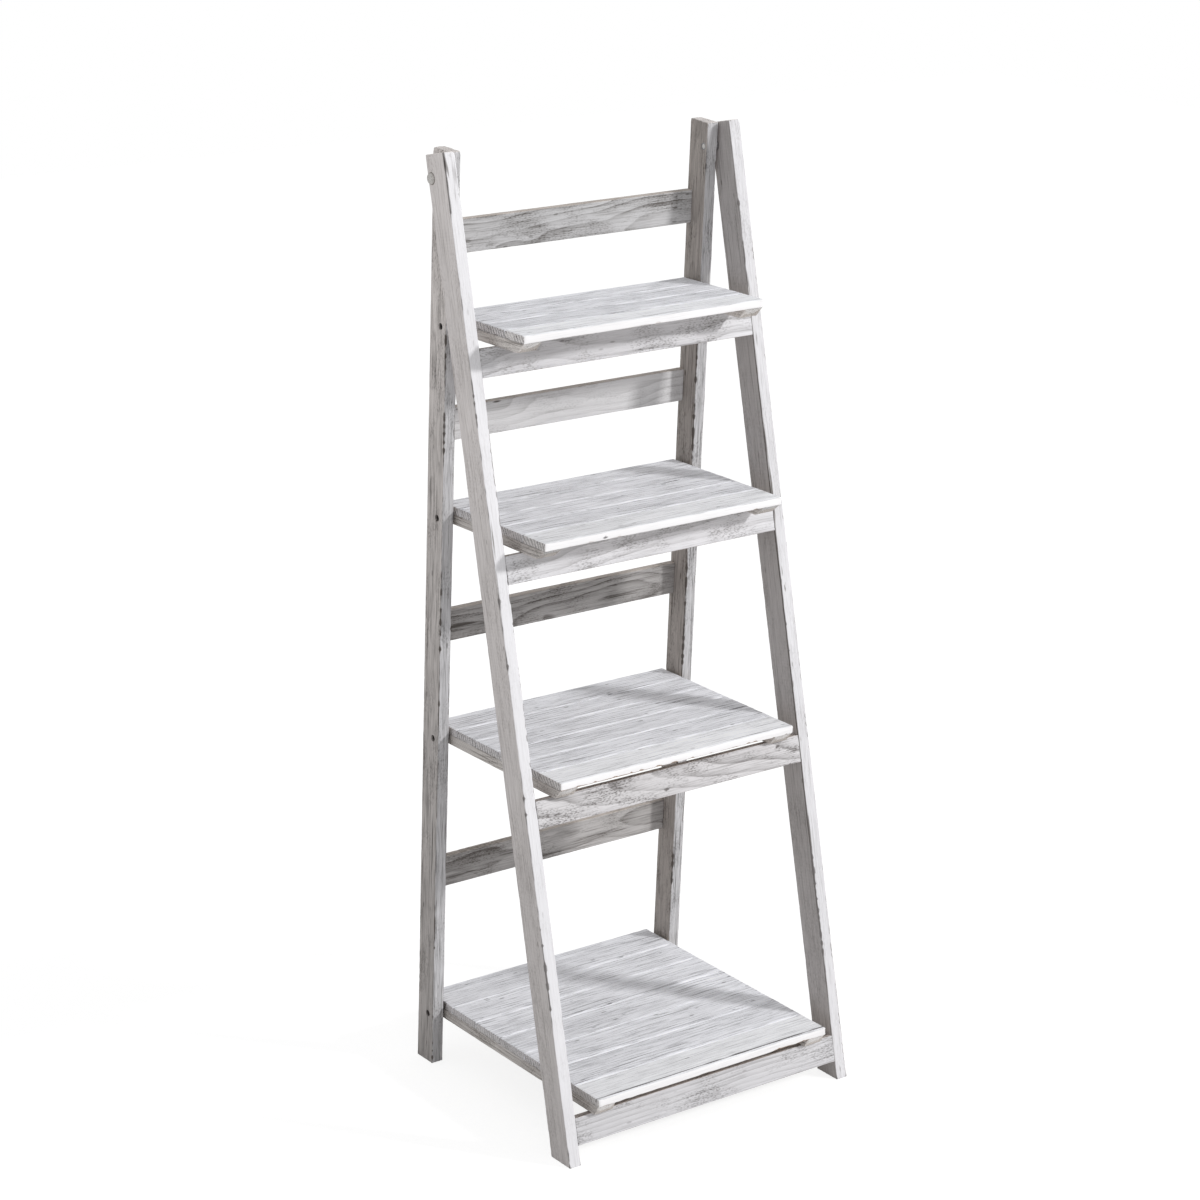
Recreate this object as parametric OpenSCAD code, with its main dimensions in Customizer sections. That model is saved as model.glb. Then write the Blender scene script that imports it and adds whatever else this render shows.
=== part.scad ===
// Folding ladder stand: a leaning front frame and a rear frame, bolted together at the top,
// with slatted shelves that hinge on the rear legs and lie on the rails of the front frame.
// Units are millimetres. The floor is z = 0, the front faces -Y, and X = 0 is the middle.

/* [Frames] */
// Width over the outer faces of the front legs
stand_w = 400; // [340:1:480]
// Lean of the front frame from upright, in degrees
front_lean = 11.9; // [11:0.1:13]
// Lean of the rear frame from upright, in degrees
rear_lean = 3.4; // [2.6:0.1:4.4]
// Length of a front leg along its front face
front_leg_len = 1130; // [1120:1:1180]
// Height of a rear leg's top above the top bolt, along the leg
rear_leg_rise = 28; // [20:1:40]

/* [Legs] */
// Width of a front leg, seen from the side
front_leg_w = 36; // [34:0.5:42]
// Thickness of a front leg, seen from the front
front_leg_t = 15; // [13:0.5:20]
// Width of a rear leg, seen from the side
rear_leg_w = 32; // [32:0.5:38]
// Thickness of a rear leg, seen from the front
rear_leg_t = 15; // [13:0.5:20]
// Radius of the eased long edges of the legs
leg_edge_r = 1.2; // [0.4:0.1:3]

/* [Rails] */
// Height of a front rail
front_rail_h = 32; // [26:0.5:38]
// Thickness of a front rail
front_rail_t = 12; // [10:0.5:15]
// Height of a rear rail
rear_rail_h = 38.5; // [32:0.5:44]
// Thickness of a rear rail
rear_rail_t = 9; // [8:0.5:9]
// Radius of the eased long edges of the rails
rail_edge_r = 1; // [0.4:0.1:2]
// Length of the tenon that a rail has in each leg
tenon_l = 9; // [6:0.5:11]
// Set-in of a tenon from the front and back faces of its rail
tenon_cheek = 2.5; // [1.5:0.1:3]
// Set-in of a tenon from the top and bottom edges of its rail
tenon_shoulder = 5; // [3:0.5:8]

/* [Bottom shelf] */
// Height of the top face
bottom_shelf_z = 74.5; // [70:0.5:90]
// Number of slats
bottom_slats = 7; // [5:1:8]
// How far the joints between the slats lie behind an even division of the shelf
bottom_joint_shift = -4; // [-6:0.5:6]
// Overhang of the shelf in front of its front rail
bottom_nose = 14; // [8:0.5:20]
// Reach of the shelf behind its hinge axis
bottom_tail = 30.5; // [26:0.5:34]
// Set-back of the bevel at the lower front corner of the cleats
bottom_bevel = 8.5; // [4:0.5:13]
// Height of the rear rail above the top face
bottom_rail_rise = 144; // [120:1:170]

/* [Lower shelf] */
// Height of the top face
lower_shelf_z = 429; // [420:0.5:440]
// Number of slats
lower_slats = 6; // [4:1:7]
// How far the joints between the slats lie behind an even division of the shelf
lower_joint_shift = 0; // [-6:0.5:6]
// Overhang of the shelf in front of its front rail
lower_nose = 17; // [10:0.5:24]
// Reach of the shelf behind its hinge axis
lower_tail = 22.5; // [19:0.5:26]
// Set-back of the bevel at the lower front corner of the cleats
lower_bevel = 11.5; // [4:0.5:16]
// Height of the rear rail above the top face
lower_rail_rise = 99.5; // [80:0.5:120]

/* [Upper shelf] */
// Height of the top face
upper_shelf_z = 696.5; // [690:0.5:706]
// Number of slats
upper_slats = 5; // [4:1:6]
// How far the joints between the slats lie behind an even division of the shelf
upper_joint_shift = 3; // [-6:0.5:6]
// Overhang of the shelf in front of its front rail
upper_nose = 44.5; // [30:0.5:48]
// Reach of the shelf behind its hinge axis
upper_tail = 19; // [17:0.5:22]
// Set-back of the bevel at the lower front corner of the cleats
upper_bevel = 17; // [4:0.5:26]
// Height of the rear rail above the top face
upper_rail_rise = 73; // [60:0.5:90]

/* [Top shelf] */
// Height of the top face
top_shelf_z = 918.5; // [910:0.5:930]
// Number of slats
top_slats = 4; // [3:1:5]
// How far the joints between the slats lie behind an even division of the shelf
top_joint_shift = 0; // [-6:0.5:6]
// Overhang of the shelf in front of its front rail
top_nose = 53; // [36:0.5:56]
// Reach of the shelf behind its hinge axis
top_tail = 14; // [12:0.5:18]
// Set-back of the bevel at the lower front corner of the cleats
top_bevel = 12.5; // [4:0.5:26]
// Height of the rear rail above the top face
top_rail_rise = 64.5; // [50:0.5:76]

/* [Slats and cleats] */
// Thickness of a slat
slat_t = 9; // [7:0.5:9.5]
// Width of the chamfers that form a groove where two slats meet
joint_chamfer = 1.8; // [0.8:0.1:3]
// Radius of the rounded top edge at the front of each shelf
slat_nose_r = 3; // [1:0.5:4]
// Radius of the eased top edge at the back of each shelf
slat_edge_r = 0.8; // [0.4:0.1:1.5]
// Width of a cleat, seen from below
cleat_w = 25; // [20:0.5:32]
// Height of a cleat
cleat_h = 12; // [10:0.5:16]
// Set-back of the cleats' upper front corner from the front of the shelf
cleat_set_back = 1.5; // [0.5:0.5:3.5]
// Width of the batten that lies across under the slats, behind the front rail, seen from below
batten_w = 20; // [12:0.5:26]

/* [Top bolts] */
// Diameter of the bolts that join the two frames
bolt_d = 5; // [4:0.5:6]
// Distance of the bolt's axis below the end of the front leg, along the leg
bolt_from_top = 26; // [20:0.5:40]
// Distance of the bolt's axis from the edge of each leg that it passes
bolt_edge = 6.4; // [6.2:0.1:8]
// Diameter of the bolt's flat round head
bolt_head_d = 12; // [10:0.5:12]
// Height of the bolt's head
bolt_head_h = 2.4; // [1.5:0.1:4]
// Radius of the rounded rim of the bolt's head
bolt_head_r = 1.2; // [0.4:0.1:1.4]
// Width of the hexagon nut across its flats
nut_af = 8; // [7:0.5:10]
// Height of the hexagon nut
nut_h = 4; // [3:0.5:6]
// Depth of the nut's face and the bolt's end below the inner face of the rear leg
nut_sink = 0.5; // [0.2:0.1:2]
// Diameter of the washer between the two legs
washer_d = 12; // [10:0.5:12.5]
// Thickness of that washer, which keeps the front legs and rear legs apart
leg_gap = 3; // [2:0.5:5]

/* [Shelf hinges] */
// Distance of the hinge axes behind the front faces of the rear legs
hinge_in = 11; // [9:0.1:11]
// Distance of the hinge axes below the top faces of the shelves
hinge_drop = 11.5; // [11:0.1:11.5]
// Diameter of a hinge screw
hinge_screw_d = 3.5; // [3:0.1:3.8]
// Diameter of its pan head
hinge_head_d = 7; // [6:0.1:7.4]
// Height of its pan head
hinge_head_h = 2.4; // [1.5:0.1:3]
// Diameter of the recess for the head in the rear leg's outer face
hinge_recess_d = 8; // [7.8:0.1:10]
// Depth of that recess
hinge_recess_depth = 6; // [4:0.5:8]
// Thickness of the spacer between a shelf and a rear leg
spacer_t = 4; // [2:0.5:6]
// Diameter of the spacer
spacer_d = 12; // [8:0.5:14]

/* [Slat screws] */
// Diameter of the screws that hold the slats from below
slat_screw_d = 3; // [2.5:0.1:3.5]
// Diameter of their countersunk heads
slat_screw_head_d = 6; // [4.5:0.1:7]
// Height of their countersunk heads
slat_screw_head_h = 1.6; // [1:0.1:2.5]
// Reach of the screws into the slats
slat_screw_bite = 5; // [3:0.5:6]
// Distance of the screws from the inner face of their cleat
slat_screw_in = 7; // [5:0.5:9]
// Wood left between a slat screw and a hinge screw's tip, or the bevel of a cleat
screw_wall = 2; // [1:0.5:4]

/* [Clearances] */
// Radial clearance of a bolt or screw in wood that turns on it
turn_clear = 0.08; // [0.05:0.01:0.1]
// Radial clearance of a screw, nut or bolt in what it holds
hold_clear = 0.03; // [0.02:0.01:0.05]
// Clearance round a tenon in its mortise
tenon_clear = 0.1; // [0.05:0.05:0.3]
// Clearance between a cleat and the edge of the rail it lies on
rest_clear = 0.1; // [0.05:0.05:0.3]
// Play between a batten and the back of the front rail at rest
batten_play = 1; // [0.5:0.1:2]
// Hairline between two slats at the bottom of their groove
slat_clear = 0.1; // [0.05:0.05:0.5]

/* [Hidden] */
$fn = 48;
LEVELS = ["bottom", "lower", "upper", "top"];
SIDES = ["left", "right"];
shelf_z = [bottom_shelf_z, lower_shelf_z, upper_shelf_z, top_shelf_z];
slats = [bottom_slats, lower_slats, upper_slats, top_slats];
joint_shift = [bottom_joint_shift, lower_joint_shift, upper_joint_shift, top_joint_shift];
nose = [bottom_nose, lower_nose, upper_nose, top_nose];
tail = [bottom_tail, lower_tail, upper_tail, top_tail];
bevel = [bottom_bevel, lower_bevel, upper_bevel, top_bevel];
rail_rise = [bottom_rail_rise, lower_rail_rise, upper_rail_rise, top_rail_rise];

// Places across the stand, from the middle out
front_outer_x = stand_w / 2;
front_inner_x = front_outer_x - front_leg_t;
rear_outer_x = front_inner_x - leg_gap;
rear_inner_x = rear_outer_x - rear_leg_t;
shelf_x = rear_inner_x - spacer_t;
cleat_inner_x = shelf_x - cleat_w;
slat_screw_x = cleat_inner_x + slat_screw_in;
nut_end_x = rear_inner_x + nut_sink + nut_h;
hinge_seat_x = rear_outer_x - hinge_recess_depth;
hinge_tip_x = slat_screw_x + slat_screw_d / 2 + screw_wall;

// Top bolt's axis: in the front frame (depth, along the leg), then in the stand (y, z)
bolt_depth = front_leg_w - bolt_edge;
bolt_along = front_leg_len - bolt_from_top;
bolt_y = bolt_depth * cos(front_lean) + bolt_along * sin(front_lean);
bolt_z = bolt_along * cos(front_lean) - bolt_depth * sin(front_lean);

// Rear frame: the bolt's place along the leg, and where the front face meets the floor
rear_along = (bolt_z - bolt_edge * sin(rear_lean)) / cos(rear_lean);
rear_foot_y = bolt_y - bolt_edge * cos(rear_lean) + rear_along * sin(rear_lean);
rear_leg_len = rear_along + rear_leg_rise;
foot_spare = front_leg_w;

// Shelves: underside, hinge axis, front and back edges of level k
function under_z(k) = shelf_z[k] - slat_t - cleat_h;
function axis_z(k) = shelf_z[k] - hinge_drop;
function axis_along(k) = (axis_z(k) - hinge_in * sin(rear_lean)) / cos(rear_lean);
function axis_y(k) = rear_foot_y + hinge_in * cos(rear_lean) - axis_along(k) * sin(rear_lean);
function front_y(k) = under_z(k) * tan(front_lean) - nose[k];
function back_y(k) = axis_y(k) + tail[k];
function batten_y(k) = front_rail_t * cos(front_lean) + front_rail_top(k) * sin(front_lean) + batten_play;

// Front and back edges of slat i of level k, counted from 0 at the front, and its screws' place
function even_y(k, i) = front_y(k) + i * (back_y(k) - front_y(k)) / slats[k] + joint_shift[k];
function slat_front(k, i) = i == 0 ? front_y(k) : even_y(k, i);
function slat_back(k, i) = i == slats[k] - 1 ? back_y(k) : even_y(k, i + 1) - slat_clear;
function bevel_clear_y(k) = front_y(k) + bevel[k] + slat_screw_head_d / 2 + screw_wall;
function slat_screw_y(k, i) = max((slat_front(k, i) + slat_back(k, i)) / 2, bevel_clear_y(k));

// Front rails: the rounded top edge of the front face carries the shelf's cleats
edge_loss = rail_edge_r * (sin(front_lean) + cos(front_lean) - 1);
function front_rail_top(k) = (under_z(k) - rest_clear + edge_loss) / cos(front_lean);
// Rear rails: flush with the back faces of the rear legs, a set rise above their shelf
rear_rail_in = rear_leg_w - rear_rail_t;
function rear_rail_z(k) = shelf_z[k] + rail_rise[k];
function rear_rail_low(k) = (rear_rail_z(k) - rear_rail_in * sin(rear_lean)) / cos(rear_lean);

// The origin lies below the middle of the stand, half-way between its front and back ends
front_end_y = min(0, front_y(0));
back_end_y = max(back_y(0), rear_foot_y + rear_leg_w / cos(rear_lean));
middle_y = (front_end_y + back_end_y) / 2;

// Moves a piece drawn from the front feet into the part's own frame
module placed() {
    translate([0, -middle_y, 0]) children();
}

// Frames' own axes: Z runs up along the legs and Y goes from their front face to their back
module in_front_frame() {
    placed() rotate([-front_lean, 0, 0]) children();
}

module in_rear_frame() {
    placed() translate([0, rear_foot_y, 0]) rotate([rear_lean, 0, 0]) children();
}

// Draws its children, which lie on the right, on one side or on both
module on_side(side) {
    mirror([side == "left" ? 1 : 0, 0, 0]) children();
}

module on_both_sides() {
    for (s = SIDES) on_side(s) children();
}

// Everything below the floor
module below_floor() {
    reach = 2 * front_leg_len;
    translate([-reach / 2, -reach / 2, -reach]) cube(reach);
}

// Rectangle with rounded corners, from the origin towards +X and +Y
module eased_rect(w, h, r) {
    translate([r, 0]) square([w - 2 * r, h]);
    translate([0, r]) square([w, h - 2 * r]);
    for (x = [r, w - r], y = [r, h - r]) translate([x, y]) circle(r);
}

// Extrudes a shape drawn in the Y-Z plane along +X
module along_x(from_x, to_x) {
    translate([from_x, 0, 0]) rotate([90, 0, 90]) linear_extrude(to_x - from_x) children();
}

// Round bar along X, between two places, on the axis at y and z
module rod(from_x, to_x, d, y = 0, z = 0) {
    translate([from_x, y, z]) rotate([0, 90, 0]) cylinder(d = d, h = to_x - from_x);
}

// Hexagonal bar along X, with two of its flats facing the front and the back
module hex_bar(from_x, to_x, across_flats, y, z) {
    translate([from_x, y, z]) rotate([0, 90, 0])
        cylinder(d = across_flats / cos(30), h = to_x - from_x, $fn = 6);
}

// Tenon at the right end of a rail that lies at (depth, along) in its frame
module tenon(inner_x, depth, along, t, h, clear) {
    translate([inner_x - 1, depth + tenon_cheek - clear, along + tenon_shoulder - clear])
        cube([tenon_l + 1 + clear, t - 2 * tenon_cheek + 2 * clear, h - 2 * tenon_shoulder + 2 * clear]);
}

// Rail between two legs, with a tenon at each end
module rail(inner_x, depth, along, t, h) {
    translate([0, depth, along]) along_x(-inner_x, inner_x) eased_rect(t, h, rail_edge_r);
    on_both_sides() tenon(inner_x, depth, along, t, h, 0);
}

module front_rail(k) {
    along = front_rail_top(k) - front_rail_h;
    color([0.88, 0.88, 0.88])
        in_front_frame() rail(front_inner_x, 0, along, front_rail_t, front_rail_h);
}

module rear_rail(k) {
    color([0.74, 0.73, 0.73])
        in_rear_frame() rail(rear_inner_x, rear_rail_in, rear_rail_low(k), rear_rail_t, rear_rail_h);
}

// Front leg: square top, foot cut level with the floor, bolt hole and four blind mortises
module front_leg(side) {
    color([0.84, 0.83, 0.82]) on_side(side) difference() {
        in_front_frame() difference() {
            translate([front_inner_x, 0, -foot_spare])
                linear_extrude(front_leg_len + foot_spare) eased_rect(front_leg_t, front_leg_w, leg_edge_r);
            rod(front_inner_x - 1, front_outer_x + 1, bolt_d + 2 * turn_clear, bolt_depth, bolt_along);
            for (k = [0:3]) {
                along = front_rail_top(k) - front_rail_h;
                tenon(front_inner_x, 0, along, front_rail_t, front_rail_h, tenon_clear);
            }
        }
        below_floor();
    }
}

// Rear leg: square top, level foot, bolt hole with a pocket for its nut, four blind mortises
// and four recessed hinge holes
module rear_leg(side) {
    color([0.70, 0.69, 0.69]) on_side(side) difference() {
        in_rear_frame() difference() {
            translate([rear_inner_x, 0, -foot_spare])
                linear_extrude(rear_leg_len + foot_spare) eased_rect(rear_leg_t, rear_leg_w, leg_edge_r);
            rod(rear_inner_x - 1, rear_outer_x + 1, bolt_d + 2 * hold_clear, bolt_edge, rear_along);
            hex_bar(rear_inner_x - 1, nut_end_x, nut_af + 2 * hold_clear, bolt_edge, rear_along);
            for (k = [0:3]) {
                tenon(rear_inner_x, rear_rail_in, rear_rail_low(k), rear_rail_t, rear_rail_h, tenon_clear);
                rod(rear_inner_x - 1, rear_outer_x, hinge_screw_d + 2 * turn_clear, hinge_in, axis_along(k));
                rod(hinge_seat_x, rear_outer_x + 1, hinge_recess_d, hinge_in, axis_along(k));
            }
        }
        below_floor();
    }
}

// Top bolts: a flat head with a rounded rim outside, a shank through both legs and the nut
module top_bolts() {
    color([0.72, 0.71, 0.70]) placed() on_both_sides() {
        rod(rear_inner_x + nut_sink, front_outer_x, bolt_d, bolt_y, bolt_z);
        translate([front_outer_x, bolt_y, bolt_z]) rotate([0, 90, 0]) rotate_extrude() {
            square([bolt_head_d / 2, bolt_head_h - bolt_head_r]);
            square([bolt_head_d / 2 - bolt_head_r, bolt_head_h]);
            translate([bolt_head_d / 2 - bolt_head_r, bolt_head_h - bolt_head_r]) circle(bolt_head_r);
        }
    }
}

module top_washers() {
    color([0.35, 0.35, 0.36]) placed() on_both_sides() difference() {
        rod(rear_outer_x, front_inner_x, washer_d, bolt_y, bolt_z);
        rod(rear_outer_x - 1, front_inner_x + 1, bolt_d + 2 * turn_clear, bolt_y, bolt_z);
    }
}

// Hexagon nuts, sunk in the inner faces of the rear legs
module top_nuts() {
    color([0.45, 0.45, 0.47]) in_rear_frame() on_both_sides() difference() {
        hex_bar(rear_inner_x + nut_sink, nut_end_x, nut_af, bolt_edge, rear_along);
        rod(rear_inner_x, nut_end_x + 1, bolt_d + 2 * hold_clear, bolt_edge, rear_along);
    }
}

// What a slat loses at its top edge at Y = 0: a rounding of radius r, or a chamfer of width c
module rounding(r) {
    translate([0, slat_t - r]) difference() {
        translate([-1, 0]) square(r + 1);
        translate([r, 0]) circle(r);
    }
}

module chamfer(c) {
    polygon([[-1, slat_t - c - 1], [c + 1, slat_t + 1], [-1, slat_t + 1]]);
}

// Outline of slat i of level k in the Y-Z plane: rounded at the front and back of the shelf,
// and chamfered where it meets the next slat
module slat_outline(k, i) {
    w = slat_back(k, i) - slat_front(k, i);
    difference() {
        square([w, slat_t]);
        if (i == 0) rounding(slat_nose_r);
        else chamfer(joint_chamfer);
        translate([w, 0]) mirror([1, 0]) {
            if (i == slats[k] - 1) rounding(slat_edge_r);
            else chamfer(joint_chamfer);
        }
    }
}

// Countersunk wood screw that points up from the origin, with a clearance round it
module slat_screw(clear) {
    r = slat_screw_d / 2 + clear;
    head_r = slat_screw_head_d / 2 + clear;
    cylinder(r = r, h = cleat_h + slat_screw_bite + clear);
    cylinder(r1 = head_r, r2 = r, h = slat_screw_head_h);
}

// The row of slat screws of a shelf: one in each end of each slat
module slat_screw_row(k, clear) {
    on_both_sides() for (i = [0:slats[k] - 1])
        translate([slat_screw_x, slat_screw_y(k, i), under_z(k)]) slat_screw(clear);
}

// Slat number i of level k, counted from 0 at the front, with its two screw holes
module shelf_slat(k, i) {
    color([0.90, 0.90, 0.91]) placed() difference() {
        translate([0, slat_front(k, i), shelf_z[k] - slat_t])
            along_x(-shelf_x, shelf_x) slat_outline(k, i);
        slat_screw_row(k, hold_clear);
    }
}

// Cleat under one end of the slats, with its bevelled nose, screw holes and hinge hole
module shelf_cleat(k, side) {
    color([0.78, 0.77, 0.76]) placed() on_side(side) difference() {
        translate([0, 0, under_z(k)]) along_x(cleat_inner_x, shelf_x) polygon([
            [front_y(k) + bevel[k], 0],
            [back_y(k), 0],
            [back_y(k), cleat_h],
            [front_y(k) + cleat_set_back, cleat_h]
        ]);
        slat_screw_row(k, hold_clear);
        rod(hinge_tip_x - hold_clear, shelf_x + 1, hinge_screw_d + 2 * hold_clear, axis_y(k), axis_z(k));
    }
}

// Batten between the cleats of a shelf, just behind the front rail that the shelf lies on
module shelf_batten(k) {
    color([0.78, 0.77, 0.76]) placed() translate([0, batten_y(k), under_z(k)])
        along_x(-cleat_inner_x, cleat_inner_x) square([batten_w, cleat_h]);
}

// Pan-head screws that hold the shelf and turn with it in the rear legs
module hinge_screws(k) {
    color([0.30, 0.30, 0.31]) placed() on_both_sides() {
        rod(hinge_tip_x, hinge_seat_x + hinge_head_h / 2, hinge_screw_d, axis_y(k), axis_z(k));
        rod(hinge_seat_x, hinge_seat_x + hinge_head_h, hinge_head_d, axis_y(k), axis_z(k));
    }
}

module shelf_spacers(k) {
    color([0.16, 0.16, 0.17]) placed() on_both_sides() difference() {
        rod(shelf_x, rear_inner_x, spacer_d, axis_y(k), axis_z(k));
        rod(shelf_x - 1, rear_inner_x + 1, hinge_screw_d + 2 * hold_clear, axis_y(k), axis_z(k));
    }
}

module slat_screws(k) {
    color([0.55, 0.55, 0.57]) placed() slat_screw_row(k, 0);
}

for (s = SIDES) {
    front_leg(s);
    rear_leg(s);
}
top_bolts();
top_washers();
top_nuts();
for (k = [0:3]) {
    front_rail(k);
    rear_rail(k);
    for (i = [1:slats[k]])
        shelf_slat(k, i - 1);
    for (s = SIDES)
        shelf_cleat(k, s);
    shelf_batten(k);
    hinge_screws(k);
    shelf_spacers(k);
    slat_screws(k);
}
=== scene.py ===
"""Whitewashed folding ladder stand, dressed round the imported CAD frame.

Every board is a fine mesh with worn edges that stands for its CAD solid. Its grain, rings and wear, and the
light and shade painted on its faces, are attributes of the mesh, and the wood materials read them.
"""

import math

import bpy
import numpy as np
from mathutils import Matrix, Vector


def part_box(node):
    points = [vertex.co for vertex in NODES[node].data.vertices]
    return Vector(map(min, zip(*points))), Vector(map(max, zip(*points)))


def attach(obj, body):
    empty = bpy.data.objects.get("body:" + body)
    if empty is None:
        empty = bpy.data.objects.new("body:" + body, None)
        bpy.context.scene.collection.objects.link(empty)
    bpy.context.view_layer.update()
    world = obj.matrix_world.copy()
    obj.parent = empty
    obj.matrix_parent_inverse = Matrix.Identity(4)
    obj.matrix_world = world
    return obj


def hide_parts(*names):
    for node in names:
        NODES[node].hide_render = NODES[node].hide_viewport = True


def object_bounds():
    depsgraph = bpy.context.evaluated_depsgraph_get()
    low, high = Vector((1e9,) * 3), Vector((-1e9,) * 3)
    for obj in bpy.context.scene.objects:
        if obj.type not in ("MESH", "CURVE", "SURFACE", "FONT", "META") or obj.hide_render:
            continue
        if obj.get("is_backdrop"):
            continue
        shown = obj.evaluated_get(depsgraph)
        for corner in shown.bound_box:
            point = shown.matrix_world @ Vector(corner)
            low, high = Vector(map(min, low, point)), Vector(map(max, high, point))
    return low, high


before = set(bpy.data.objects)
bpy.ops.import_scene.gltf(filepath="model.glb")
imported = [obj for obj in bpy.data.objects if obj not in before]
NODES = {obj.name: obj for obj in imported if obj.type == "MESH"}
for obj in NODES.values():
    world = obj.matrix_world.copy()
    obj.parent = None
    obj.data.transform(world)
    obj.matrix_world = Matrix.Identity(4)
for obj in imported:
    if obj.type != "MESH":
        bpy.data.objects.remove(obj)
cad_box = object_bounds()

MM = 0.001
LEVELS = ("bottom", "lower", "upper", "top")
SIDES = ("left", "right")

# The leans of the two frames, as in the CAD model, in degrees
FRONT_LEAN = 11.9
REAR_LEAN = 3.4

# Sizes of the CAD model that the boards repeat, in mm
JOINT_CHAMFER = 1.8
BOLT_HOLE_R = 2.58
NUT_POCKET = 4.5
NUT_POCKET_R = 4.65
HINGE_HOLE_R = 1.83
HINGE_RECESS = 6.0
HINGE_RECESS_R = 4.0
OVERCUT = 1.0  # how far a cutting shape reaches past the wood

# The camera of the photograph, 1200 x 1200
CAMERA_AT = (-2.0008, -2.7572, 1.6629)
CAMERA_TURN = (72.422, -0.057, -35.464)
CAMERA_LENS = 94.308
CAMERA_SENSOR = 36

# Light, in units where 1 on a surface shows its colour as written
AMBIENT = 0.55
KEY_AT = (6.0, -7.0, 5.4)
KEY_AIM = (0, 0, 0.6)
KEY_SIZE = 1.0
KEY_WATTS = 590

# The floor: half its side in metres, its grey, and the glow that whitens it where it is seen
FLOOR_HALF = 6.0
FLOOR_GREY = 0.8
FLOOR_GLOW = 1.38
FLOOR_GLOW_SHARE = 0.6
WHITE = (1.0, 1.0, 1.0, 1.0)


# ---------------------------------------------------------------- noise

def hashed(i, j, k, seed):
    """Values from 0 to 1, one for each lattice point. The large numbers only scramble the bits."""
    n = i * 73856093 ^ j * 19349663 ^ k * 83492791 ^ (seed * 40503 + 12345)
    n = (n ^ (n >> 13)) * 1274126177 & 0x7FFFFFFF
    return ((n ^ (n >> 15)) & 0xFFFF) / 65535.0


def noise(points, seed):
    """Smooth noise from -1 to 1 at points, an array of shape (n, 3)."""
    whole = np.floor(points).astype(np.int64)
    part = points - whole
    part = part * part * (3 - 2 * part)
    i, j, k = whole.T
    x, y, z = part.T
    total = 0
    for a in (0, 1):
        for b in (0, 1):
            for c in (0, 1):
                weight = (x if a else 1 - x) * (y if b else 1 - y) * (z if c else 1 - z)
                total = total + weight * hashed(i + a, j + b, k + c, seed)
    return 2 * total - 1


def along_noise(s, step, seed):
    """Smooth noise from -1 to 1 along one coordinate, with a point each step."""
    zero = np.zeros_like(s)
    return noise(np.stack([s / step, zero, zero], 1), seed)


def smooth(value, low, high):
    """Smooth step of value, from 0 at low to 1 at high. It falls where low is the larger."""
    t = np.clip((value - low) / (high - low), 0, 1)
    return t * t * (3 - 2 * t)


# ---------------------------------------------------------------- meshes

def points_of(piece):
    return np.array([p.co for p in piece.data.vertices], float)


def mesh_piece(name, points, faces, material):
    """A new smooth object from an array of points and faces, as lists or as an array."""
    mesh = bpy.data.meshes.new(name)
    mesh.from_pydata(points.tolist(), [], faces.tolist() if hasattr(faces, "tolist") else faces)
    mesh.materials.append(material)
    mesh.polygons.foreach_set("use_smooth", [True] * len(mesh.polygons))
    mesh.update()
    piece = bpy.data.objects.new(name, mesh)
    bpy.context.scene.collection.objects.link(piece)
    return piece


def stored(piece, name, vectors):
    """Writes an attribute with one vector for each point of the piece."""
    attribute = piece.data.attributes.new(name, "FLOAT_VECTOR", "POINT")
    attribute.data.foreach_set("vector", np.asarray(vectors, np.float32).ravel())


def lathe(profile, segments=40, start=0.0):
    """Points and faces of a solid turned about X from (x, radius) pairs, closed at both ends.
    Each ring of points begins at the angle start."""
    points = []
    faces = []
    for x, radius in profile:
        for n in range(segments):
            angle = start + 2 * math.pi * n / segments
            points.append((x, radius * math.cos(angle), radius * math.sin(angle)))
    for row in range(len(profile) - 1):
        for n in range(segments):
            a, b = row * segments + n, row * segments + (n + 1) % segments
            faces.append((a, b, b + segments, a + segments))
    faces.append(tuple(range(segments - 1, -1, -1)))
    faces.append(tuple(range(len(points) - segments, len(points))))
    return np.array(points), faces


def cut(piece, points, faces):
    """Cuts a closed shape out of a piece."""
    tool = mesh_piece("cutter", points, faces, piece.data.materials[0])
    modifier = piece.modifiers.new("cut", "BOOLEAN")
    modifier.operation = "DIFFERENCE"
    modifier.solver = "EXACT"
    modifier.object = tool
    result = bpy.data.meshes.new_from_object(piece.evaluated_get(bpy.context.evaluated_depsgraph_get()))
    old = piece.data
    piece.modifiers.clear()
    piece.data = result
    result.name = piece.name
    bpy.data.meshes.remove(old)
    tool_mesh = tool.data
    bpy.data.objects.remove(tool)
    bpy.data.meshes.remove(tool_mesh)


# ---------------------------------------------------------------- boards

# A board has its length along u, its width along v and its thickness along w.

# Steps of its grid along u, v and w, in mm
BOARD_STEPS = (2.6, 3.2, 3.2)

# Distances from an edge at which it has rows of points, in mm, and the share of its size that
# they may take up
EDGE_STEPS = (0.0, 0.3, 0.8, 1.5, 2.4, 3.3, 4.4)
EDGE_SHARE = 0.35

# Its long edges, at the low (0) or high (1) side in v and in w: least radius in mm, what wear adds
# to it, how bare the wood gets, and how round the edge is, as in edge_form
PLAIN_EDGES = {(a, b): (0.7, 0.6, 0.4, 2) for a in (0, 1) for b in (0, 1)}

# The edges round its low (0) and high (1) end: least radius in mm, what wear adds, how bare; and
# how far from the end they begin and are complete, in metres
PLAIN_ENDS = {0: (0.5, 0.7, 0.4), 1: (0.5, 0.7, 0.4)}
END_REACH = (0.006, 0.002)

# Lengths over which wear changes, in metres
SLOW_WEAR = 0.055
QUICK_WEAR = 0.009
NICKS = 0.0045
TEARS = 0.0032

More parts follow.
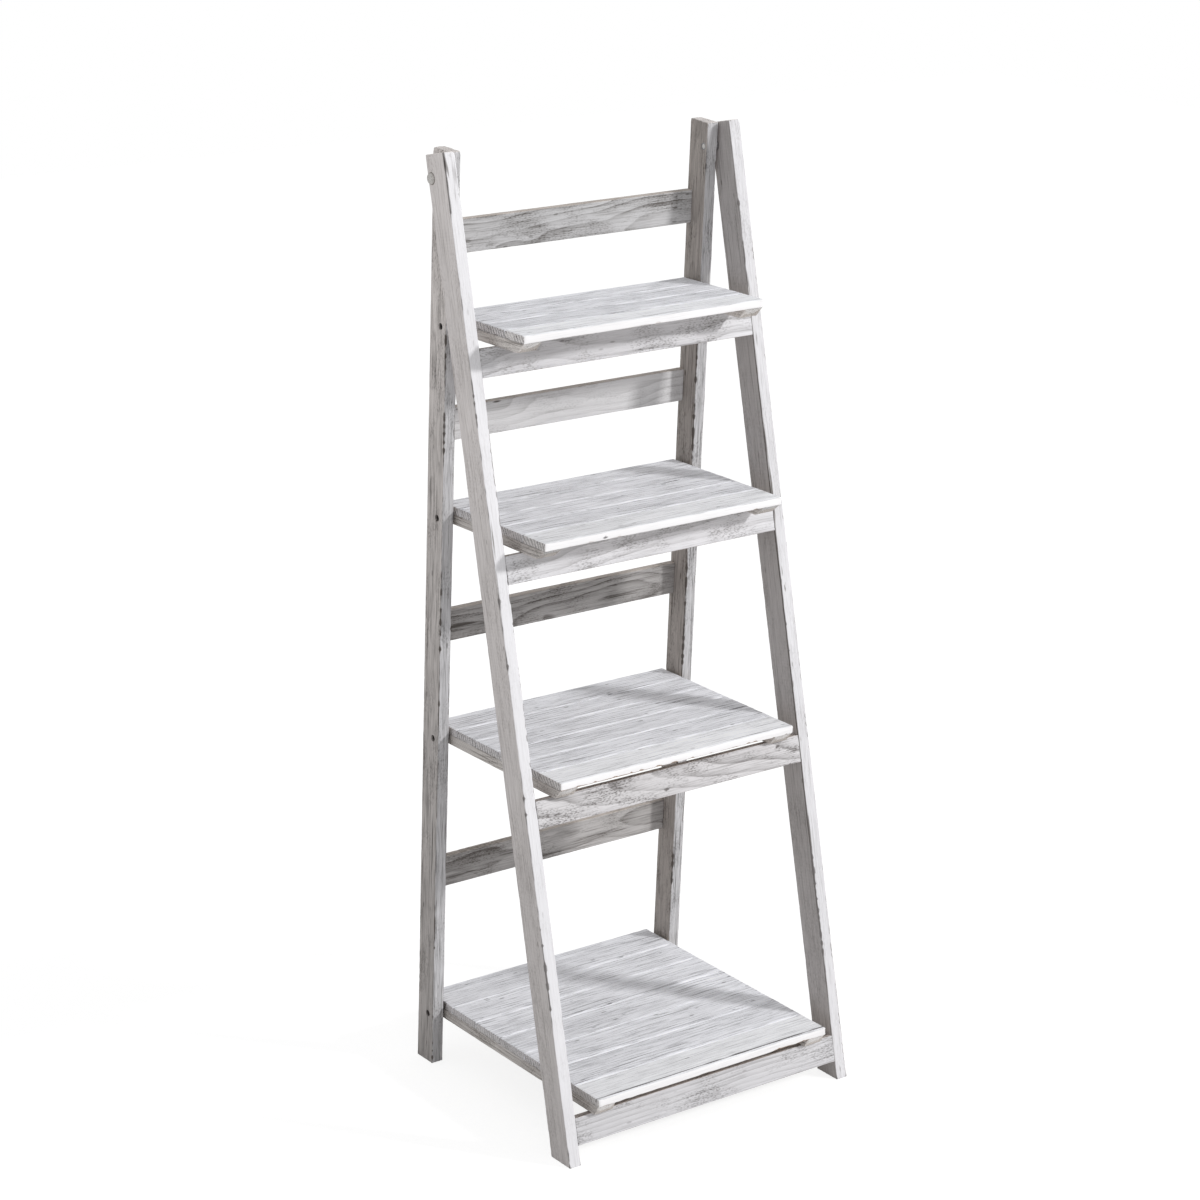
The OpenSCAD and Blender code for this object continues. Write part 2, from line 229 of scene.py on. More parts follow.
# Wear of a long edge: its mean, what each noise adds, how the slow one helps nicks, and where they
# begin and are full
WEAR_MEAN = 0.35
WEAR_BY_SLOW = 0.5
WEAR_BY_QUICK = 0.35
WEAR_BY_NICK = 0.8
NICK_BY_SLOW = 0.6
NICK_BAND = (0.55, 1.1)

# How far bare wood reaches from a long edge, in mm, at least and more with wear, and from an end
BARE_REACH = (0.7, 1.3)
END_BARE_REACH = 1.8

# The least angle, in degrees, between faces of a bored board that meet in a sharp edge
SHARP_ANGLE = 50

# Dark lines along the top: over what length they change, in metres, and how deep they go, in mm
LINE_CHANGE = 0.02
LINE_DEPTH = 2.5

# Bores: how dark the painted shade inside them is, how far it reaches past the wall, and from which depth,
# in mm
BORE_SHADE = 1.6
BORE_WALL = 0.2
BORE_DEPTH = 0.4

# The ring of painted shade round a bolt head, in the crease at its edge, in mm: where it starts to fade,
# over what width, how far it may reach, and how deep
HALO_RADIUS = 5.8
HALO_FADE = 2.0
HALO_REACH = 12
HALO_DEPTH = 0.3

# Where the pith of the tree lies at random, in metres across a board and below it
PITH_ACROSS = 0.016
PITH_BELOW = (0.012, 0.05)

# How far apart the boards of two seeds lie in the patterns of the wood, in metres
RING_SHIFT = 1.37
GRAIN_SHIFT = 0.73
GRAIN_SIDE_SHIFT = 0.11


def spread(low, high, step):
    """Places from low to high, in metres: close together near the ends, about a step apart between."""
    near = [s * MM for s in EDGE_STEPS if s * MM < (high - low) * EDGE_SHARE]
    count = max(1, round((high - low - 2 * near[-1]) / step))
    middle = np.linspace(low + near[-1], high - near[-1], count + 1)[1:-1]
    return np.concatenate([[low + n for n in near], middle, [high - n for n in near[::-1]]])


def box_surface(us, vs, ws):
    """Points and quads of a closed box whose faces are grids."""
    shape = (len(us), len(vs), len(ws))
    outer = np.zeros(shape, bool)
    outer[[0, -1]] = outer[:, [0, -1]] = outer[:, :, [0, -1]] = True
    index = np.full(shape, -1)
    index[outer] = np.arange(outer.sum())
    grid = np.stack(np.meshgrid(us, vs, ws, indexing="ij"), -1)[outer]
    quads = []
    for axis in range(3):
        for end in (0, -1):
            side = np.take(index, end, axis)
            ring = [side[:-1, :-1], side[1:, :-1], side[1:, 1:], side[:-1, 1:]]
            if (end == 0) != (axis == 1):
                ring.reverse()
            quads.append(np.stack(ring, -1).reshape(-1, 4))
    return grid, np.concatenate(quads)


def edge_wear(u, seed):
    """How worn an edge is along u, from 0 to 1, and more where it has a nick. What is added to the
    seed keeps the three noises apart."""
    slow = along_noise(u, SLOW_WEAR, seed)
    quick = along_noise(u, QUICK_WEAR, seed + 7)
    nick = smooth(along_noise(u, NICKS, seed + 13) + NICK_BY_SLOW * slow, *NICK_BAND)
    return np.clip(WEAR_MEAN + WEAR_BY_SLOW * slow + WEAR_BY_QUICK * quick, 0, 1) + WEAR_BY_NICK * nick


def long_edges(at, low, high, edges, seed):
    """The form of the nearest long edge at each point, as in edge_form."""
    least, more = BARE_REACH
    u, v, w = at.T
    radius = np.zeros(len(at))
    power = np.full(len(at), 2.0)
    wear = np.zeros(len(at))
    for (side_v, side_w), (base, rough, worn, roundness) in edges.items():
        near_v = (high[1] - v) if side_v else (v - low[1])
        near_w = (high[2] - w) if side_w else (w - low[2])
        on = (near_v <= (high[1] - low[1]) / 2) & (near_w <= (high[2] - low[2]) / 2)
        amount = edge_wear(u, seed * 31 + side_v * 2 + side_w)
        fade = np.exp(-(np.maximum(near_v, near_w) / ((least + more * amount) * MM)) ** 2)
        radius = np.where(on, (base + rough * amount) * MM, radius)
        power = np.where(on, roundness, power)
        wear = np.where(on, worn * fade * (0.35 + 0.65 * np.clip(amount, 0, 1.3)), wear)
    return radius, power, wear


def with_end(form, at, low, high, end, values, seed):
    """The form of the long edges, changed near one end to that of the edges round it. Their wear
    follows v + 1.7 w, which changes along all four."""
    radius, power, wear = form
    base, rough, worn = values
    u, v, w = at.T
    near_u = (high[0] - u) if end else (u - low[0])
    amount = np.clip(0.4 + 0.6 * along_noise(v + 1.7 * w, TEARS, seed * 17 + end), 0, 1)
    near = smooth(near_u, *END_REACH)
    radius = np.maximum(radius * (1 - near), near * (base + rough * amount) * MM)
    power = power * (1 - near) + 2 * near
    edge = np.minimum.reduce([v - low[1], high[1] - v, w - low[2], high[2] - w])
    fade = np.exp(-((near_u + np.abs(edge)) / (END_BARE_REACH * MM)) ** 2)
    return radius, power, np.maximum(wear, worn * fade * amount)


def edge_form(at, low, high, edges, ends, seed):
    """Rounding of the nearest edge at each point of a box: its radius, how round it is (2 for a
    round and 1 for a chamfer), and how worn the wood is there."""
    form = long_edges(at, low, high, edges, seed)
    for end, values in ends.items():
        form = with_end(form, at, low, high, end, values, seed)
    return form


def rounded(at, low, high, radius, power):
    """Moves the points near the edges of a box onto edges rounded to the radius."""
    inner = np.clip(at, low + radius[:, None], high - radius[:, None])
    out = at - inner
    length = (np.abs(out) ** power[:, None]).sum(1) ** (1 / power)
    scale = np.where(length > 1e-9, radius / np.maximum(length, 1e-9), 1)
    return inner + out * scale[:, None]


def face_washes_and_shading(at, low, high, faces):
    """Wash at each point, as the nearest face has it: its tone, its warmth and its cover. The tone and the
    warmth are painted light and shade: faces that the lamp lights are lighter, faces turned from it or under
    other parts are darker and warmer, and some faces grow lighter or darker from end to end. The warmth also
    stands in part for a thinner wash. faces gives for (axis, end) the tone at the board's low and high end,
    the warmth and the cover, from -1 where the grain shows strongly to 1 where it is hidden."""
    gaps = np.stack([at - low, high - at], 1)
    nearest = np.abs(gaps).reshape(len(at), 6).argmin(1)
    share = (at[:, 0] - low[0]) / (high[0] - low[0])
    wash = np.tile([1.0, 0.0, 0.0], (len(at), 1))
    for (axis, end), (first, last, warmth, cover) in faces.items():
        here = nearest == end * 3 + axis
        wash[here, 0] = (first + (last - first) * share)[here]
        wash[here, 1:] = warmth, cover
    return wash


def dark_marks(at, low, high, marks):
    """How strongly dark places show: (u, v, w, reach along, reach across, strength), in mm.
    The place is measured from the low corner, or along the board from its high end if u is negative."""
    mark = np.zeros(len(at))
    for u, v, w, along, across, strength in marks:
        place = low + np.array([u, v, w]) * MM
        if u < 0:
            place[0] = high[0] + u * MM
        away = (at - place) / (np.array([along, across, across]) * MM)
        mark = np.maximum(mark, strength * np.exp(-(away * away).sum(1)))
    return mark


def dark_lines(at, low, high, lines, seed):
    """How strongly thin dark lines along the top show: (v, width, strength), in mm, with v from the
    low side, or from the high side if it is negative."""
    mark = np.zeros(len(at))
    level = 0.75 + 0.3 * along_noise(at[:, 0], LINE_CHANGE, seed + 3)
    on_top = at[:, 2] > high[2] - LINE_DEPTH * MM
    for v, width, strength in lines:
        away = (at[:, 1] - (low if v > 0 else high)[1]) / MM - v
        mark = np.maximum(mark, on_top * strength * level * np.exp(-(away / width) ** 2))
    return mark


def with_bores(mark, at, low, high, turn, bores, halo):
    """The marks with painted shade inside the bores, and a ring of painted shade round the first of them on
    the side given.
    """
    for number, (y, z, profile, *_) in enumerate(bores):
        height, depth, _ = np.array([0, y, z]) @ turn
        away = np.hypot(at[:, 1] - depth, at[:, 0] - height)
        wall = max(radius for _, radius in profile) + BORE_WALL * MM
        inside = (at[:, 2] - low[2] > BORE_DEPTH * MM) & (high[2] - at[:, 2] > BORE_DEPTH * MM)
        # painted shade inside the bore
        mark = np.where((away < wall) & inside, BORE_SHADE, mark)
        # a ring of painted shade round the bolt head
        if halo is not None and number == 0:
            on_side = np.abs(at[:, 2] - (low, high)[halo][2]) < HALO_DEPTH * MM
            ring = 1.0 - (away / MM - HALO_RADIUS) / HALO_FADE
            mark = np.where(on_side & (away < HALO_REACH * MM), ring, mark)
    return mark


def store_wood(piece, from_middle, seed, pith):
    """Stores where each point lies in the grain, and round the pith of the tree. pith is its place
    in v and w, and how far it leans in w along the board, or nothing for a random place."""
    rng = np.random.default_rng(seed)
    *place, slope = pith or (rng.uniform(-PITH_ACROSS, PITH_ACROSS), -rng.uniform(*PITH_BELOW), 0)
    rings = from_middle - [0, *place] - from_middle[:, :1] * [0, 0, slope]
    stored(piece, "rings", rings + [RING_SHIFT * seed, 0, 0])
    stored(piece, "grain", from_middle + [GRAIN_SHIFT * seed, GRAIN_SIDE_SHIFT * seed % 1, 0])


def cut_bores(piece, bores):
    for y, z, *form in bores:
        points, sides = lathe(*form)
        cut(piece, points + [0, y, z], sides)
    piece.data.set_sharp_from_angle(angle=math.radians(SHARP_ANGLE))


def board(node, body, axes, seed, material, limits=None, warp=None, edges=None, ends=None,
          faces=None, marks=(), lines=(), bores=(), halo=None, pith=None):
    """A board in place of a CAD node. axes are the directions of its length, width and thickness.

    limits are its ends where they differ from the node's, and warp gives each point's place along it. edges
    and ends are changes to PLAIN_EDGES and PLAIN_ENDS. faces is its whitewash, with tones and warmth that
    paint light and shade, as in face_washes_and_shading, marks and lines are its dark places, stains and,
    along joints, painted shade, as in dark_marks and dark_lines, and pith is as in store_wood. bores are cut
    out of it: (y, z, ...), the rest as in lathe, and halo is the side in w on which the first of them has a
    ring of painted shade round it.
    """
    turn = np.array(axes, float).T
    local = points_of(NODES[node]) @ turn
    low, high = local.min(0), local.max(0)
    if limits:
        low[0], high[0] = limits
    at, quads = box_surface(*(spread(low[n], high[n], step * MM) for n, step in enumerate(BOARD_STEPS)))
    if np.linalg.det(turn) < 0:
        quads = quads[:, ::-1]
    all_edges = {**PLAIN_EDGES, **(edges or {})}
    all_ends = {**PLAIN_ENDS, **(ends or {})}
    radius, power, wear = edge_form(at, low, high, all_edges, all_ends, seed)
    at = rounded(at, low, high, radius, power)
    if warp:
        at[:, 0] = warp(at, low, high)
    piece = mesh_piece(node + "_board", at @ turn.T, quads, material)
    if bores:
        cut_bores(piece, bores)
        at = points_of(piece) @ turn
        wear = edge_form(at, low, high, all_edges, all_ends, seed)[2]
    # Dark places: stains, and painted shade along the joints between slats, inside bores and round a bolt
    # head
    mark = np.maximum(dark_marks(at, low, high, marks), dark_lines(at, low, high, lines, seed))
    mark = with_bores(mark, at, low, high, turn, bores, halo)
    store_wood(piece, at - (low + high) / 2, seed, pith)
    stored(piece, "look", np.stack([wear, mark, 0 * mark], 1))
    # the wash holds the cover, and tone and warmth that paint light and shade
    stored(piece, "wash", face_washes_and_shading(at, low, high, faces or {}))
    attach(piece, body)
    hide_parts(node)
    return piece


# ---------------------------------------------------------------- materials

# Noises in the wood: bumps per metre along u, v and w, detail and roughness
PATTERNS = {
    "fibre": ((50, 1500, 1500), 2.0, 0.5),
    "streak": ((9, 330, 330), 4.0, 0.62),
    "cloud": ((16, 34, 34), 4.0, 0.6),
    "patch": ((9, 55, 55), 2.0, 0.5),
    "line": ((13, 680, 680), 2.0, 0.5),
    "hair": ((34, 1000, 1000), 2.0, 0.6),
    "pore": ((300, 880, 880), 0.0, 0.5),
    "wander": ((5.5, 7, 7), 2.0, 0.5),
    "ripple": ((30, 120, 120), 2.0, 0.5),
    "saw": ((22, 22, 22), 2.0, 0.5),
    "shade": ((4, 12, 12), 2.0, 0.5),
    "blotch": ((700, 700, 700), 3.0, 0.5),
}

# Between which values of a noise, ring or attribute each pattern comes out
BANDS = {
    "fibre": (0.45, 0.75), "streak": (0.48, 0.75), "cloud": (0.48, 0.8), "patch": (0.35, 0.62),
    "line": (0.56, 0.66), "hair": (0.48, 0.66), "pore": (0.5, 0.66), "pore_cloud": (0.43, 0.6),
    "late": (1.0, 0.92), "thin_cover": (0.0, -1.0), "full_cover": (0.0, 1.0), "saw": (0.42, 0.62),
    "speck": (0.3, 0.12), "speck_cells": (0.93, 0.95), "shade": (0.3, 0.7), "blotch": (0.35, 0.7),
    "blotch_rough": (0.3, 0.7), "marked": (0.95, 1.35), "near_mark": (0.02, 0.3),
    "stain_and_shade": (0.5, 1.3), "worn": (0.35, 0.75),
}

# How far the pith of the tree wanders and the annual rings ripple, in metres
WANDER = 0.024
RIPPLE = 0.0012

# How strongly each pattern shows, unless a material says otherwise
SHARES = {"rings": 0.3, "lines": 0.4, "streaks": 0.25, "clouds": 0.2, "pores": 0.3, "saw": 0.0}

# How strongly the patterns show that are alike in all woods. The share of hairs is one of lines,
# and that of early wood one of rings.
FIBRE_SHARE = 0.12
SPECK_SHARE = 0.5
MARK_SHARE = 0.8
HAIR_SHARE = 0.75
EARLY_SHARE = 0.25

# How steeply a ring darkens into late wood, and the least of lines and late wood between patches
LATE_POWER = 3.5
PATCH_LEAST = 0.35

# How much stronger late wood gets where the cover is thin, and how little wood full cover leaves
THIN_COVER_RINGS = 4.5
FULL_COVER_WOOD = 0.12

# How much streaks and fibres make marks and worn places ragged, and the level at which worn places
# neither grow nor shrink
STREAK_RAGS = 0.9
FIBRE_RAGS = 0.5
RAG_LEVEL = 0.7

# The least and the most that broad changes make of a face's tone, and the colour of stains, which also
# paints the shade in the joints between slats, inside bores and round bolt heads
SHADE_TONES = (0.96, 1.03)
STAIN_AND_SHADE = (58, 50, 45)

# Small dark specks: cells per metre along u, v and w
SPECK_CELLS = (60, 190, 190)

# The saw's marks: their slant in degrees and how many there are, in Blender's own scale of waves
SAW_SLANT = 38
SAW_SCALE = 105.0

# Relief of the wood: its depth in metres and its strength; roughness under the wash and where bare
RELIEF_DEPTH = 0.0004
RELIEF = 0.35
WASH_ROUGHNESS = 0.62
BARE_ROUGHNESS = 0.85

# Metal: the tone of its blotches, and what they make of its roughness
BLOTCH_TONE = 0.72
BLOTCH_ROUGHNESS = (0.85, 1.25)

# The tint that warmth 1 gives to the wood: painted warm shade on faces turned from the lamp, and in part the
# wood of a thinner wash
WARM_SHADE_TINT = (1.06, 0.975, 0.895, 1.0)


class Tree:
    """Short calls that build the nodes of a material or a world."""

    def __init__(self, owner):
        self.owner = owner
        owner.use_nodes = True
        self.tree = owner.node_tree
        self.tree.nodes.clear()

    def put(self, socket, value):
        """Links the value to the socket if it is a socket too, and sets it otherwise."""
        if isinstance(value, bpy.types.NodeSocket):
            self.tree.links.new(value, socket)
        else:
            socket.default_value = value

    def node(self, kind, values=None, **settings):
        """A new node with settings of its own, and values for inputs by name or number."""
        made = self.tree.nodes.new(kind)
        for key, value in settings.items():
            setattr(made, key, value)
        for key, value in (values or {}).items():
            self.put(made.inputs[key], value)
        return made

    def math(self, operation, a, b=0.0, clamp=False):
        return self.node("ShaderNodeMath", {0: a, 1: b}, operation=operation, use_clamp=clamp).outputs[0]

    def attribute(self, name):
        return self.node("ShaderNodeAttribute", attribute_name=name).outputs["Vector"]

    def parts(self, vector):
        """The three numbers of a vector."""
        return self.node("ShaderNodeSeparateXYZ", {0: vector}).outputs

    def scaled(self, vector, scale):
        return self.node("ShaderNodeVectorMath", {0: vector, 1: scale}, operation="MULTIPLY").outputs[0]

    def pattern(self, name, vector):
        """One of PATTERNS: noise in a vector that is scaled first."""
        scale, detail, rough = PATTERNS[name]
        return self.node("ShaderNodeTexNoise", {"Vector": self.scaled(vector, scale), "Scale": 1.0,
                                                "Detail": detail, "Roughness": rough}).outputs["Fac"]

    def step(self, value, low, high, to_low=0.0, to_high=1.0):
        """Smooth step: to_low where value is under low, to_high where it is over high."""
        return self.node("ShaderNodeMapRange",
                         {"Value": value, "From Min": low, "From Max": high,
                          "To Min": to_low, "To Max": to_high},
                         interpolation_type="SMOOTHSTEP").outputs[0]

    def band(self, name, value, to_low=0.0, to_high=1.0):
        """One of BANDS, as a smooth step of value."""
        return self.step(value, *BANDS[name], to_low, to_high)

    def mix(self, factor, a, b):
        """Mix of two colours."""
        return self.node("ShaderNodeMix", {0: factor, 6: a, 7: b}, data_type="RGBA").outputs[2]

    def finish(self, shader, output="ShaderNodeOutputMaterial"):
        """Links the shader to the output, and gives back the material or world."""
        self.node(output, {"Surface": shader})
        return self.owner


def new_material(name):
    return Tree(bpy.data.materials.new(name))


def rgb(red, green, blue):
    """A colour given as sRGB values from 0 to 255."""
    linear = [c / 255 / 12.92 if c <= 10 else ((c / 255 + 0.055) / 1.055) ** 2.4 for c in (red, green, blue)]
    return (*linear, 1.0)


def added(t, first, *others):
    """Sum of (value, weight) pairs in a material."""
    total = t.math("MULTIPLY", *first)
    for value, weight in others:
        total = t.math("ADD", total, t.math("MULTIPLY", value, weight))
    return total


def ring_turn(t, rings, width):
    """Place within the annual ring, from 0 to 1. The pith wanders along the board."""
    across = t.scaled(rings, (0, 1, 1))
    reach = t.node("ShaderNodeVectorMath", {0: across}, operation="LENGTH").outputs["Value"]
    wander = t.math("SUBTRACT", t.pattern("wander", rings), 0.5)
    ripple = t.math("SUBTRACT", t.pattern("ripple", rings), 0.5)
    distance = added(t, (reach, 1.0), (wander, WANDER), (ripple, RIPPLE))
    return t.math("FRACT", t.math("DIVIDE", distance, width))


def saw_marks(t, grain):
    """Faint slanting marks of a saw, in patches."""
    turned = t.node("ShaderNodeVectorRotate", {"Vector": grain, "Angle": math.radians(SAW_SLANT)},
                    rotation_type="Y_AXIS").outputs[0]
    wave = t.node("ShaderNodeTexWave", {"Vector": t.scaled(turned, (1, 0, 0.2)), "Scale": SAW_SCALE,
                                        "Distortion": 1.2, "Detail": 1.0, "Detail Scale": 40.0})
    return t.math("MULTIPLY", wave.outputs["Fac"], t.band("saw", t.pattern("saw", grain)))


def small_specks(t, grain):
    """Small dark specks, far apart."""
    cell = t.node("ShaderNodeTexVoronoi", {"Vector": t.scaled(grain, SPECK_CELLS), "Scale": 1.0})
    pick = t.node("ShaderNodeSeparateColor", {0: cell.outputs["Color"]}).outputs[0]
    return t.math("MULTIPLY", t.band("speck", cell.outputs["Distance"]), t.band("speck_cells", pick))


def bare_grain(t, grain, streak, fibre, warmth, cover, ring_width, shares):
    """How far the weathered wood shows through the wash, along its grain, rings and pores."""
    cloud = t.pattern("cloud", grain)
    patch = t.band("patch", t.pattern("patch", grain), PATCH_LEAST, 1.0)
    line = t.math("MULTIPLY", t.band("line", t.pattern("line", grain)), patch)
    hair = t.band("hair", t.pattern("hair", grain))
    turn = ring_turn(t, t.attribute("rings"), ring_width)
    late = t.math("MULTIPLY", t.math("POWER", turn, LATE_POWER), t.band("late", turn))
    late = t.math("MULTIPLY", late, t.band("thin_cover", cover, 1.0, THIN_COVER_RINGS))
    late = t.math("MULTIPLY", late, patch)
    pore = t.band("pore", t.pattern("pore", grain))
    pore = t.math("MULTIPLY", pore, t.band("pore_cloud", cloud))
    shown = added(t, (line, shares["lines"]), (hair, shares["lines"] * HAIR_SHARE),
                  (t.band("streak", streak), shares["streaks"]),
                  (late, shares["rings"]), (turn, shares["rings"] * EARLY_SHARE),
                  (t.band("cloud", cloud), shares["clouds"]), (pore, shares["pores"]),
                  (t.band("fibre", fibre), FIBRE_SHARE), (small_specks(t, grain), SPECK_SHARE))
    if shares["saw"]:
        sawn = t.math("MULTIPLY", saw_marks(t, grain), warmth)
        shown = added(t, (shown, 1.0), (sawn, shares["saw"]))
    return t.math("MULTIPLY", shown, t.band("full_cover", cover, 1.0, FULL_COVER_WOOD))


def toned(t, colour, grain, tone, warmth):
    """The colour with the tone and the warmth of the face, which paint its light and shade, and faint broad
    changes.
    """
    colour = t.scaled(colour, t.mix(warmth, WHITE, WARM_SHADE_TINT))
    shade = t.math("MULTIPLY", tone, t.band("shade", t.pattern("shade", grain), *SHADE_TONES))
    return t.node("ShaderNodeVectorMath", {0: colour, 3: shade}, operation="SCALE").outputs[0]


def whitewashed(name, wash, under, bare, ring_width=0.0042, **shares):
    """Wire-brushed wood under a thin white wash. under is the weathered wood that shows through
    the wash along the grain, and bare the wood of worn edges. shares are changes to SHARES.

    It reads four attributes of the mesh: grain and rings, the place in the wood; look, its wear and dark
    marks, which are stains and also painted shade at joints, in bores and round bolt heads; and wash, the
    cover of the face, with its tone and warmth, which paint light and shade.
    """
    t = new_material(name)
    grain = t.attribute("grain")
    wear, mark, _ = t.parts(t.attribute("look"))
    # tone and warmth paint the light and shade of each face
    tone, warmth, cover = t.parts(t.attribute("wash"))
    fibre = t.pattern("fibre", grain)
    streak = t.pattern("streak", grain)
    shown = bare_grain(t, grain, streak, fibre, warmth, cover, ring_width, {**SHARES, **shares})
    ragged = added(t, (streak, STREAK_RAGS), (fibre, FIBRE_RAGS))
    marked = t.band("marked", t.math("ADD", mark, ragged))
    marked = t.math("MULTIPLY", marked, t.band("near_mark", mark))
    shown = t.math("ADD", shown, t.math("MULTIPLY", marked, MARK_SHARE), clamp=True)
    worn = t.math("MULTIPLY", t.math("SUBTRACT", ragged, RAG_LEVEL), 0.9)
    worn = t.band("worn", t.math("ADD", wear, worn))
    # Stains, and painted shade at joints, in bores and round bolt heads, take the dark colour
    stain_and_shade = t.math("MULTIPLY", marked, t.band("stain_and_shade", mark))
    colour = toned(t, t.mix(shown, wash, under), grain, tone, warmth)
    colour = t.mix(stain_and_shade, t.mix(worn, colour, bare), rgb(*STAIN_AND_SHADE))
    height = added(t, (shown, -1.0), (fibre, 0.5), (worn, -0.7))
    relief = t.node("ShaderNodeBump", {"Height": height, "Strength": RELIEF, "Distance": RELIEF_DEPTH})
    rough = t.step(shown, 0.0, 1.0, WASH_ROUGHNESS, BARE_ROUGHNESS)
    surface = t.node("ShaderNodeBsdfPrincipled", {"Base Color": colour, "Roughness": rough,
                                                  "Normal": relief.outputs[0], "Specular IOR Level": 0.3})
    return t.finish(surface.outputs[0])


def leg_wood():
    return whitewashed("leg_wood", rgb(240, 239, 242), rgb(140, 136, 134), rgb(132, 128, 127),
                       saw=0.08, rings=0.1, lines=0.34, streaks=0.18, clouds=0.12, pores=0.2)


def rear_leg_wood():
    return whitewashed("rear_leg_wood", rgb(214, 213, 215), rgb(112, 110, 110), rgb(92, 86, 82),
                       rings=0.25, lines=0.55, streaks=0.3, clouds=0.2)


def rail_wood():
    return whitewashed("rail_wood", rgb(228, 227, 230), rgb(128, 125, 125), rgb(108, 98, 90),
                       ring_width=0.0062, rings=0.6, lines=0.3, streaks=0.18, clouds=0.34, pores=0.55)


def rear_rail_wood():
    return whitewashed("rear_rail_wood", rgb(214, 213, 214), rgb(108, 104, 101), rgb(92, 82, 74),
                       ring_width=0.0036, rings=0.6, lines=0.35, streaks=0.25, clouds=0.4, pores=0.3)


def slat_wood():
    return whitewashed("slat_wood", rgb(248, 249, 254), rgb(106, 105, 109), rgb(168, 160, 154),
                       ring_width=0.0047, rings=0.22, lines=0.52, streaks=0.1, clouds=0.08, pores=0.1)


def front_slat_wood():
    return whitewashed("front_slat_wood", rgb(248, 249, 252), rgb(108, 106, 109), rgb(150, 122, 98),
                       ring_width=0.0047, rings=0.22, lines=0.5, streaks=0.1, clouds=0.08, pores=0.1)


def cleat_wood():
    return whitewashed("cleat_wood", rgb(230, 229, 229), rgb(136, 132, 130), rgb(118, 106, 96),
                       saw=0.25, lines=0.45, streaks=0.25)


def metal(name, colour, roughness, metallic):
    """Metal or nylon with a faint uneven tone and roughness."""
    t = new_material(name)
    place = t.node("ShaderNodeTexCoord").outputs["Object"]
    blotch = t.pattern("blotch", place)
    dark = tuple(c * BLOTCH_TONE for c in colour[:3]) + (1.0,)
    base = t.mix(t.band("blotch", blotch), colour, dark)
    rough = t.band("blotch_rough", blotch, *(roughness * change for change in BLOTCH_ROUGHNESS))
    surface = t.node("ShaderNodeBsdfPrincipled", {"Base Color": base, "Roughness": rough,
                                                  "Metallic": metallic})
    return t.finish(surface.outputs[0])


WOOD = {
    "front_leg": leg_wood(),
    "rear_leg": rear_leg_wood(),
    "front_rail": rail_wood(),
    "rear_rail": rear_rail_wood(),
    "slat": slat_wood(),
    "front_slat": front_slat_wood(),
    "cleat": cleat_wood(),
}
METALS = {
    "top_bolts": metal("bolt_paint", rgb(226, 223, 219), 0.5, 0.0),
    "top_washers": metal("zinc_steel", rgb(150, 150, 152), 0.35, 1.0),
    "top_nuts": metal("nut_steel", rgb(150, 150, 152), 0.35, 1.0),
    "hinge_screws": metal("dark_steel", rgb(70, 70, 72), 0.4, 1.0),
    "spacers": metal("black_nylon", rgb(34, 34, 36), 0.55, 0.0),
    "slat_screws": metal("screw_steel", rgb(150, 148, 142), 0.35, 1.0),
}


# ---------------------------------------------------------------- the frames

# The two frames and how far they lean back, in degrees
FRAMES = {"front": FRONT_LEAN, "rear": -REAR_LEAN}

# How far up a leg the cut of its foot moves the grid, in metres
FOOT_SPAN = 0.06

# Seeds of the first board of each kind, and what they grow by
LEG_SEED = 3
RAIL_SEED = 11
SEED_STEP = 2


def frame_axes(lean):
    """Directions along the legs, into the depth and across, of a frame that leans back by lean."""
    angle = math.radians(lean)
    up = (0.0, math.sin(angle), math.cos(angle))
    depth = (0.0, math.cos(angle), -math.sin(angle))
    return up, depth, (1.0, 0.0, 0.0)


def level_foot(lean):
    """Warp that cuts the lower end of a leg level with the floor."""
    rise = math.tan(math.radians(lean))

    def warp(at, low, high):
        share = np.clip(1 - (at[:, 0] - low[0]) / FOOT_SPAN, 0, 1)
        return at[:, 0] + (at[:, 1] * rise - low[0]) * share

    return warp


def turned_about_x(start, *steps):
    """Profile for lathe from pairs of (length, radius), laid end to end from x = start."""
    profile = []
    for length, radius in steps:
        profile += [(start, radius * MM), (start + length * MM, radius * MM)]
        start += length * MM
    return profile


def middle_of(node):
    """Where the middle of a CAD node lies in (y, z)."""
    low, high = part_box(node)
    return (low.y + high.y) / 2, (low.z + high.z) / 2


def leg_bores(kind, side):
    """Holes in a leg, as board takes them: y, z, a profile along X, and for the nut's pocket its
    number of sides and their turn."""
    low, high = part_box(f"{kind}_{side}")
    outer = max(abs(low.x), abs(high.x)) + OVERCUT * MM
    inner = min(abs(low.x), abs(high.x)) - OVERCUT * MM
    thick = (outer - inner) / MM
    bolt = middle_of("top_washers")
    bores = [(*bolt, turned_about_x(inner, (thick, BOLT_HOLE_R)))]
    if kind == "rear_leg":
        pocket = turned_about_x(inner, (NUT_POCKET + OVERCUT, NUT_POCKET_R))
        bores.append((*bolt, pocket, 6, math.radians(30 - REAR_LEAN)))
        recess = HINGE_RECESS + OVERCUT
        for level in LEVELS:
            profile = turned_about_x(inner, (thick - recess, HINGE_HOLE_R), (recess, HINGE_RECESS_R))
            bores.append((*middle_of(level + "_shelf_spacers"), profile))
    if side == "left":
        bores = [(y, z, [(-x, r) for x, r in profile[::-1]], *form) for y, z, profile, *form in bores]
    return bores


